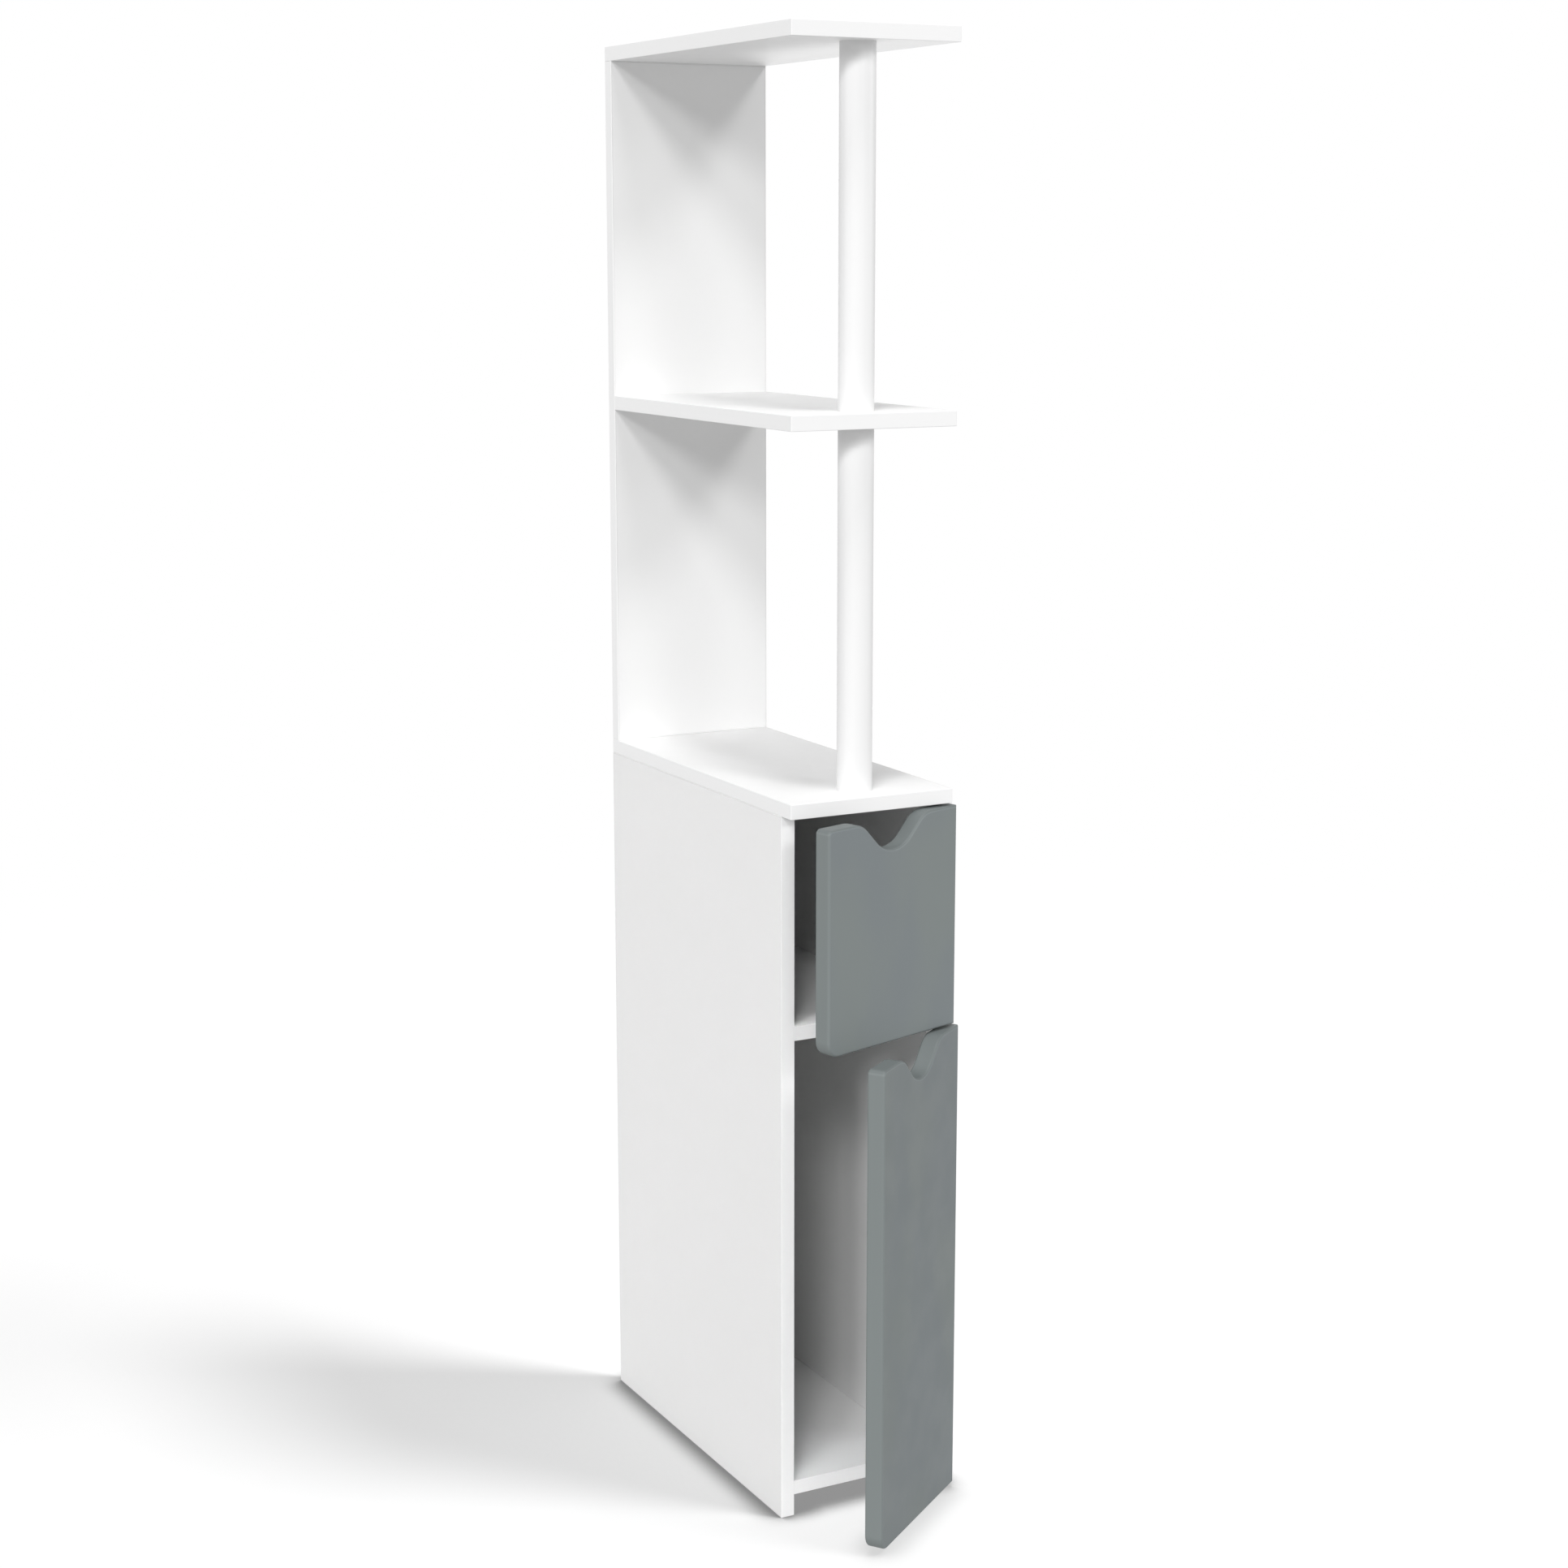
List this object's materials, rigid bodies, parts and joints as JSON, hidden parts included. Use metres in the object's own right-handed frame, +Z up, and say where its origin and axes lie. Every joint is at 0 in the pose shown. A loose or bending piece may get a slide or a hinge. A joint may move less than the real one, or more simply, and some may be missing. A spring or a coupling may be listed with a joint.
{
  "type": "slim bathroom tower cabinet",
  "caption": "Slim free-standing bathroom tower: a narrow base with grey side-hung doors notched for a finger, and open shelves above on a back panel and a round pole.",
  "frame": {"origin": "on the floor, under the middle of the box that the cabinet takes up with its doors as they rest", "axes": "+Z up, +Y to the rear (towards the wall), +X to the right seen from the front, where the doors hang"},
  "size_m": [0.1538, 0.4124, 1.18],
  "materials": {
    "white_board": "white melamine-faced particle board, satin",
    "white_pole": "white foil-wrapped rod, satin",
    "grey_door": "grey lacquered fibreboard, satin",
    "hardboard": "white-faced hardboard",
    "hinge_steel": "zinc-plated steel",
    "screw_steel": "zinc-plated steel",
    "cam_metal": "die-cast zinc",
    "dowel_wood": "beech",
    "cap_plastic": "white moulded plastic"
  },
  "bodies": {
    "cabinet": {"bottom_panel": "white_board", "cabinet_back_panel": "hardboard", "cam_bolts": "cam_metal", "cam_locks": "cam_metal", "divider_shelf": "white_board", "hinge_frame_screws": "screw_steel", "left_side_panel": "white_board", "lower_door_bottom_hinge_frame_leaf": "hinge_steel", "lower_door_bottom_hinge_pin": "hinge_steel", "lower_door_top_hinge_frame_leaf": "hinge_steel", "lower_door_top_hinge_pin": "hinge_steel", "lower_pole": "white_pole", "middle_shelf": "white_board", "pole_joining_stud": "screw_steel", "pole_screw_cap": "cap_plastic", "pole_screws": "screw_steel", "right_side_panel": "white_board", "shelf_screws": "screw_steel", "top_board": "white_board", "top_shelf": "white_board", "upper_back_panel": "white_board", "upper_door_bottom_hinge_frame_leaf": "hinge_steel", "upper_door_bottom_hinge_pin": "hinge_steel", "upper_door_top_hinge_frame_leaf": "hinge_steel", "upper_door_top_hinge_pin": "hinge_steel", "upper_pole": "white_pole", "wooden_dowels": "dowel_wood"},
    "upper_door": {"upper_door": "grey_door", "upper_door_bottom_hinge_door_leaf": "hinge_steel", "upper_door_hinge_screws": "screw_steel", "upper_door_top_hinge_door_leaf": "hinge_steel"},
    "lower_door": {"lower_door": "grey_door", "lower_door_bottom_hinge_door_leaf": "hinge_steel", "lower_door_hinge_screws": "screw_steel", "lower_door_top_hinge_door_leaf": "hinge_steel"}
  },
  "joints": [
    {"name": "upper_door_hinge", "type": "hinge", "parent": "cabinet", "child": "upper_door", "pos_m": [0.0706, -0.10818, 0.492], "axis": [0, 0, 1], "range_deg": [-16.6, 163.4]},
    {"name": "lower_door_hinge", "type": "hinge", "parent": "cabinet", "child": "lower_door", "pos_m": [0.0706, -0.10818, 0.202], "axis": [0, 0, 1], "range_deg": [-35.7, 144.3]}
  ]
}
